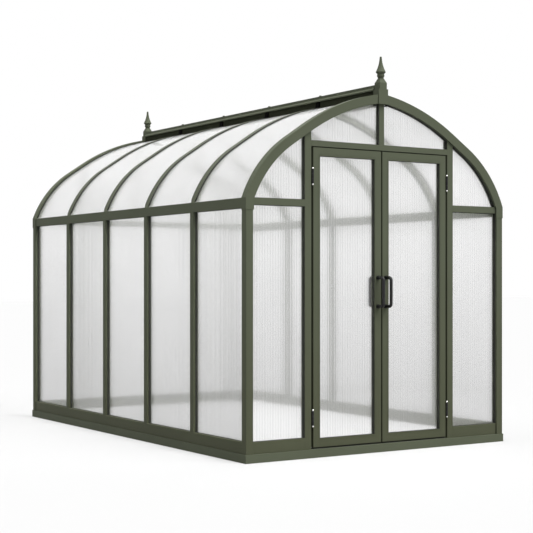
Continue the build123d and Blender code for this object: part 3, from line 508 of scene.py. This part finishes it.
def flute(bm, node, axis, spacing, depth, flat_share):
    """Cut a sheet along its webs, let its two skins dip between them, and mark its weather skin."""
    across = Vector([float(letter == axis) for letter in "XYZ"])
    mark_skins(bm, node, across)
    # The skin dips over this share of the spacing on each side of a web
    flank = (1 - flat_share) / 2
    places = [vert.co.dot(across) for vert in bm.verts]
    rest = bm.verts[:] + bm.edges[:] + bm.faces[:]
    for number in range(int(min(places) / spacing) - 1, int(max(places) / spacing) + 2):
        for share in (0, flank / 2, flank, 1 - flank, 1 - flank / 2):
            place = (number + share) * spacing
            cut = bmesh.ops.bisect_plane(bm, geom=rest, dist=CUT_PRECISION, plane_co=across * place,
                                         plane_no=across)
            rest = [part for part in cut["geom"] if part.is_valid and beyond(part, across, place)]
    bm.normal_update()
    moves = []
    for vert in bm.verts:
        skin = sum((face.normal for face in vert.link_faces if face.material_index != RIM), Vector())
        if skin.length > 0:
            share = vert.co.dot(across) / spacing % 1
            rise = min(1, min(share, 1 - share) / flank)
            # The dip starts and ends smoothly
            dip = 2 * rise ** 2 if rise < 0.5 else 1 - 2 * (1 - rise) ** 2
            moves.append((vert, skin.normalized() * (-depth * spacing * dip)))
    for vert, move in moves:
        vert.co += move
    for face in bm.faces:
        face.material_index = int(face.material_index == WEATHER)


def beyond(part, across, place):
    """Whether a vertex, edge or face lies past a place along a direction."""
    verts = [part] if isinstance(part, bmesh.types.BMVert) else part.verts
    return all(vert.co.dot(across) > place - WELD for vert in verts)


def inset(bm, thickness):
    """Inset an open mesh from its outer edge, and return the new faces along that edge."""
    done = bmesh.ops.inset_region(bm, faces=bm.faces[:], thickness=thickness, use_boundary=True,
                                  use_even_offset=True)
    return done["faces"]


def extrude(bm, faces):
    """Extrude faces, and return the new corners, which still lie on the old ones."""
    done = bmesh.ops.extrude_face_region(bm, geom=faces, use_keep_orig=True)
    return [part for part in done["geom"] if isinstance(part, bmesh.types.BMVert)]


def lining(node, seat, width, depth):
    """The rubber round the openings of a node's sheets on the weather side, or along the ribs of a roof,
    painting the shade in the reveals.
    """
    bm = copy_of(node)
    hidden = [face for face in bm.faces if outward(node, face) < FACING]
    bmesh.ops.delete(bm, geom=hidden, context="FACES")
    bmesh.ops.delete(bm, geom=inset(bm, seat), context="FACES")
    kept = set(inset(bm, width))
    if "roof" in node:
        kept = {face for face in kept if abs(face.calc_tangent_edge().y) < SIDEWAYS}
    bmesh.ops.delete(bm, geom=[face for face in bm.faces if face not in kept], context="FACES")
    bm.normal_update()
    for vert in extrude(bm, bm.faces[:]):
        vert.co += vert.normal * depth
    bmesh.ops.recalc_face_normals(bm, faces=bm.faces[:])
    return bm


def lining_size(seals, node, body):
    """Width and depth of the rubber that lines the openings of a node's sheets."""
    if "roof" in node:
        return seals.roof_lining_width, seals.roof_lining
    if "wall" in node:
        return seals.lining_width, seals.side_lining
    if body == FRAME_BODY:
        return seals.lining_width, seals.gable_lining
    return seals.lining_width, seals.door_lining


def add_bar(bm, outline, start, end):
    """Add a bar to a mesh: an outline of a few points at its start, drawn along to its end."""
    face = bm.faces.new([bm.verts.new(start + Vector(point)) for point in outline])
    bmesh.ops.translate(bm, verts=extrude(bm, [face]), vec=end - start)
    bmesh.ops.recalc_face_normals(bm, faces=bm.faces[:])


def stop_seal(reach, gap):
    """Outline of a seal on a door stop, beside a leaf: across the gap there, and from the stop."""
    flank, corner = reach
    far = gap - SEAL_PLAY
    return [(flank, 0), (flank, STOP_SEAL_SIDE), (corner, STOP_SEAL_FACE), (far, STOP_SEAL_FACE), (far, 0)]


def bracket_bays(start, end):
    """The stretches of the ridge between its brackets, with a little room at each."""
    places = sorted(vert.co.y for vert in frame["nodes"]["ridge_brackets"].data.vertices)
    edges = [start + BRACKET_PLAY, places[0] - BRACKET_PLAY]
    for near, far in zip(places, places[1:]):
        if far - near > LONGEST_BRACKET:
            edges += [near + BRACKET_PLAY, far - BRACKET_PLAY]
    edges += [places[-1] + BRACKET_PLAY, end - BRACKET_PLAY]
    return list(zip(edges[::2], edges[1::2]))


def flat_mesh(name, low, high, height):
    """A level rectangle between two corners, at a height."""
    bm = bmesh.new()
    corners = ((low[0], low[1]), (high[0], low[1]), (high[0], high[1]), (low[0], high[1]))
    bm.faces.new([bm.verts.new((x, y, height)) for x, y in corners])
    return mesh_of(name, bm)


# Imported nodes
def nodes_in(slot):
    """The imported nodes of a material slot."""
    return [part["node"] for part in frame["record"]["subparts"] if part["material_slot"] == slot]


def furnish(nodes, material):
    """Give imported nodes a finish."""
    for node in nodes:
        for slot in frame["nodes"][node].material_slots:
            slot.material = material


def glazing_nodes():
    """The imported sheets, each with the body that it rides on."""
    for node in nodes_in("glazing"):
        yield node, next((door for door in DOORS if node.startswith(door)), FRAME_BODY)


# Operators
class FinishFrame(Operator):
    """Powder-coat every bar of the frame and the doors"""
    bl_idname = "greenhouse.finish_frame"
    bl_label = "Finish the frame"

    def execute(self, context):
        finish = context.scene.greenhouse_finish
        nodes = nodes_in("frame")
        furnish(nodes, powder_coat("bars", finish.frame_colour, finish.shaded_foot_colour))
        plinth = powder_coat("plinth", finish.frame_colour, finish.frame_colour)
        furnish([node for node in nodes if node.startswith("plinth")], plinth)
        return {"FINISHED"}


class FinishFurniture(Operator):
    """Give the handles, the hinges, the hinge pins and the ridge brackets their finish"""
    bl_idname = "greenhouse.finish_furniture"
    bl_label = "Finish the door furniture"

    def execute(self, context):
        furnish(nodes_in("hardware"), black_coat(context.scene.greenhouse_finish.furniture_colour))
        furnish(["ridge_brackets"], moulded_nylon())
        furnish(nodes_in("bright_steel"), polished_steel())
        return {"FINISHED"}


class AddSheets(Operator):
    """Add the fluted twin-wall sheets of the walls, the roof, the gables and the doors"""
    bl_idname = "greenhouse.add_sheets"
    bl_label = "Add the sheets"

    def execute(self, context):
        glazing = context.scene.greenhouse_glazing
        finish = context.scene.greenhouse_finish
        room = {axis: twin_wall(axis, "room skin", 0.0, ROOM_HAZE, glazing, finish) for axis in "XY"}
        weather = {axis: twin_wall(axis, "weather skin", glazing.milkiness, WEATHER_HAZE, glazing, finish)
                   for axis in "XY"}
        roof = twin_wall("Y", "roof skin", glazing.roof_milkiness, ROOF_HAZE, glazing, finish)
        for node, body in glazing_nodes():
            axis = "Y" if "wall" in node or "roof" in node else "X"
            bm = copy_of(node)
            depth = glazing.side_flute_depth if axis == "Y" else glazing.flute_depth
            flute(bm, node, axis, glazing.flute_spacing, depth, glazing.flat_share)
            shade(bm, CREASE)
            skins = [room[axis], roof if "roof" in node else weather[axis]]
            place_piece(f"{node}_sheets", bm, skins, body, "glazing", node)
        return {"FINISHED"}


class AddLiningsAndShade(Operator):
    """Line the openings of walls, gables and doors, and the ribs of the roof, with black rubber that also
    paints their shade
    """
    bl_idname = "greenhouse.add_linings"
    bl_label = "Add the linings"

    def execute(self, context):
        seals = context.scene.greenhouse_seals
        black = rubber(context.scene.greenhouse_finish.seal_and_shade_colour)
        for node, body in glazing_nodes():
            width, depth = lining_size(seals, node, body)
            strips = lining(node, seals.seat, width, depth)
            place_piece(node.replace("glazing", "lining"), strips, [black], body, "hardware")
        return {"FINISHED"}


class AddDoorSeals(Operator):
    """Close the gaps round the two door leaves with rubber seals"""
    bl_idname = "greenhouse.add_door_seals"
    bl_label = "Add the door seals"

    def execute(self, context):
        seals = context.scene.greenhouse_seals
        black = rubber(context.scene.greenhouse_finish.seal_and_shade_colour)
        low, high = (Vector(corner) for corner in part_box("right_door_frame"))
        stop = high.y + STOP_ROOM
        drop = seals.sill_gap - SILL_ROOM
        foot = low.z - drop
        frame_seals = bmesh.new()
        for hand, door in zip((1, -1), DOORS):
            leaf_seals = bmesh.new()
            meeting_edge = hand * low.x
            hinge_edge = hand * high.x
            nose = [(hand * x * MM, y * MM, 0) for x, y in NOSE]
            add_bar(leaf_seals, nose, Vector((meeting_edge, low.y, foot)),
                    Vector((meeting_edge, low.y, high.z)))
            blade = [(0, y * MM, -share * drop) for y, share in BLADE]
            add_bar(leaf_seals, blade, Vector((meeting_edge, low.y, low.z)),
                    Vector((hand * (high.x + seals.blade_reach), low.y, low.z)))
            place_piece(f"{door}_seals", leaf_seals, [black], door, "hardware")
            # The stop seals close the hinge and head gaps, and their black also paints the shade at the back
            # of these gaps
            side = [(hand * x, y, 0) for x, y in stop_seal(SIDE_SEAL, seals.hinge_gap)]
            add_bar(frame_seals, side, Vector((hinge_edge, stop, foot)), Vector((hinge_edge, stop, high.z)))
        head = [(0, y, z) for z, y in stop_seal(HEAD_SEAL, seals.head_gap)]
        add_bar(frame_seals, head, Vector((-high.x, stop, high.z)), Vector((high.x, stop, high.z)))
        place_piece("door_stop_seals", frame_seals, [black], FRAME_BODY, "hardware")
        return {"FINISHED"}


class AddRidgeShadeFoam(Operator):
    """Add dark strips of foam under the ridge cap, between the brackets, that paint the shade there"""
    bl_idname = "greenhouse.add_ridge_vents"
    bl_label = "Add the ridge vents"

    def execute(self, context):
        width = context.scene.greenhouse_seals.ridge_shade_foam_width
        beam_low, beam_high = (Vector(corner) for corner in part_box("ridge_beam"))
        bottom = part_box("glazing_roof_right")[1][2] + FOAM_FOOT_ROOM
        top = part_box("ridge_cap")[0][2] - FOAM_HEAD_ROOM
        bm = bmesh.new()
        for hand in (-1, 1):
            side = hand * (beam_high.x + SEAL_PLAY)
            out = hand * width
            outline = [(0, 0, bottom), (out * FOAM_FOOT, 0, bottom), (out, 0, bottom + FOAM_BEVEL),
                       (out, 0, top), (0, 0, top)]
            for start, end in bracket_bays(beam_low.y, beam_high.y):
                add_bar(bm, outline, Vector((side, start, 0)), Vector((side, end, 0)))
        foam = ridge_shade_foam_finish(context.scene.greenhouse_finish.ridge_shade_colour)
        place_piece("ridge_shade_foam", bm, [foam], FRAME_BODY, "hardware")
        return {"FINISHED"}


class SetStage(Operator):
    """Add the floor, the light and the camera"""
    bl_idname = "greenhouse.set_stage"
    bl_label = "Set the stage"

    def execute(self, context):
        stage = context.scene.greenhouse_stage
        scene = context.scene
        scene.view_settings.view_transform = "Standard"
        self.add_floor(scene, stage)
        self.add_world(scene, stage)
        self.add_lamp(scene, "key_lamp", stage.key_strength, KEY_SPREAD, KEY_FROM)
        self.add_lamp(scene, "top_lamp", stage.top_strength, TOP_SPREAD, TOP_FROM)
        self.add_camera(scene, stage)
        return {"FINISHED"}

    def add_floor(self, scene, stage):
        """A wide pale floor that the camera sees as white, with the shadow on it."""
        outside = flat_mesh("floor", (-FLOOR_REACH, -FLOOR_REACH), (FLOOR_REACH, FLOOR_REACH), 0)
        # Inside the plinth the ground is nearly level with the plinth's top, as in the photograph
        low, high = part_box("plinth_front")[0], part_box("plinth_back")[1]
        inside = flat_mesh("ground_inside", (low[0] + stage.bank, low[1] + stage.bank),
                           (high[0] - stage.bank, high[1] - stage.bank), stage.ground_rise)
        for mesh, colour, lift in ((outside, stage.floor_colour, FLOOR_LIFT),
                                   (inside, stage.ground_colour, GROUND_LIFT)):
            mesh.materials.append(self.ground_finish(mesh.name, colour, lift))
            ground = bpy.data.objects.new(mesh.name, mesh)
            scene.collection.objects.link(ground)

    def ground_finish(self, name, colour, strength):
        """A matt ground that the camera, gloss and the sheets see lifted towards white."""
        material, tree = new_material(f"matt {name}")
        matt = add_node(tree, "ShaderNodeBsdfDiffuse", {"Color": opaque(colour)})
        lift = add_node(tree, "ShaderNodeEmission", {"Strength": strength})
        glow = add_node(tree, "ShaderNodeMixShader", {0: seen_rays(tree), 2: lift.outputs["Emission"]})
        both = add_node(tree, "ShaderNodeAddShader", {0: matt.outputs["BSDF"], 1: glow.outputs["Shader"]})
        add_node(tree, "ShaderNodeOutputMaterial", {"Surface": both.outputs["Shader"]})
        return material

    def add_world(self, scene, stage):
        """White to the camera, in gloss and through the sheets, and a softer light from all round."""
        world = bpy.data.worlds.new("studio")
        world.use_nodes = True
        tree = world.node_tree
        tree.nodes.clear()
        strength = add_node(tree, "ShaderNodeMapRange", {"Value": seen_rays(tree), "To Min": stage.ambient})
        sky = add_node(tree, "ShaderNodeBackground", {
            "Color": opaque(linear("FFFFFF")), "Strength": strength.outputs["Result"]})
        add_node(tree, "ShaderNodeOutputWorld", {"Surface": sky.outputs["Background"]})
        scene.world = world

    def add_lamp(self, scene, name, strength, spread, source):
        """A soft light from one side of the sky."""
        light = bpy.data.lights.new(name, "SUN")
        light.energy = strength
        light.angle = spread
        lamp = bpy.data.objects.new(name, light)
        lamp.rotation_euler = Vector(source).to_track_quat("Z", "Y").to_euler()
        scene.collection.objects.link(lamp)

    def add_camera(self, scene, stage):
        """The camera at the photograph's place, level, turned to the right."""
        data = bpy.data.cameras.new("camera")
        data.lens = stage.focal_length
        data.sensor_width = CAMERA_SENSOR
        data.shift_x, data.shift_y = CAMERA_SHIFT
        camera = bpy.data.objects.new("camera", data)
        camera.location = CAMERA_PLACE
        camera.rotation_euler = Euler((radians(90), 0, radians(CAMERA_TURN)))
        scene.collection.objects.link(camera)
        scene.camera = camera


STEPS = (SetStage, FinishFrame, FinishFurniture, AddSheets, AddLiningsAndShade, AddDoorSeals, AddRidgeShadeFoam)


class GreenhousePanel(Panel):
    """The greenhouse's settings and steps"""
    bl_idname = "VIEW3D_PT_greenhouse"
    bl_label = "Greenhouse"
    bl_space_type = "VIEW_3D"
    bl_region_type = "UI"
    bl_category = "Greenhouse"

    def draw(self, context):
        scene = context.scene
        for settings in (scene.greenhouse_glazing, scene.greenhouse_seals, scene.greenhouse_finish,
                         scene.greenhouse_stage):
            for name in settings.__annotations__:
                self.layout.prop(settings, name)
        for step in STEPS:
            self.layout.operator(step.bl_idname)


CLASSES = (GlazingSettings, SealSettings, FinishSettings, StageSettings, *STEPS, GreenhousePanel)


def register():
    """Register the classes and hang the settings on the scene."""
    for cls in CLASSES:
        bpy.utils.register_class(cls)
    bpy.types.Scene.greenhouse_glazing = PointerProperty(type=GlazingSettings)
    bpy.types.Scene.greenhouse_seals = PointerProperty(type=SealSettings)
    bpy.types.Scene.greenhouse_finish = PointerProperty(type=FinishSettings)
    bpy.types.Scene.greenhouse_stage = PointerProperty(type=StageSettings)


def unregister():
    """Take the settings off the scene and unregister the classes."""
    del bpy.types.Scene.greenhouse_stage
    del bpy.types.Scene.greenhouse_finish
    del bpy.types.Scene.greenhouse_seals
    del bpy.types.Scene.greenhouse_glazing
    for cls in reversed(CLASSES):
        bpy.utils.unregister_class(cls)


def main():
    """Build the looks in order."""
    register()
    bpy.ops.greenhouse.set_stage()
    bpy.ops.greenhouse.finish_frame()
    bpy.ops.greenhouse.finish_furniture()
    bpy.ops.greenhouse.add_sheets()
    bpy.ops.greenhouse.add_linings()
    bpy.ops.greenhouse.add_door_seals()
    bpy.ops.greenhouse.add_ridge_vents()


if __name__ == "__main__":
    main()
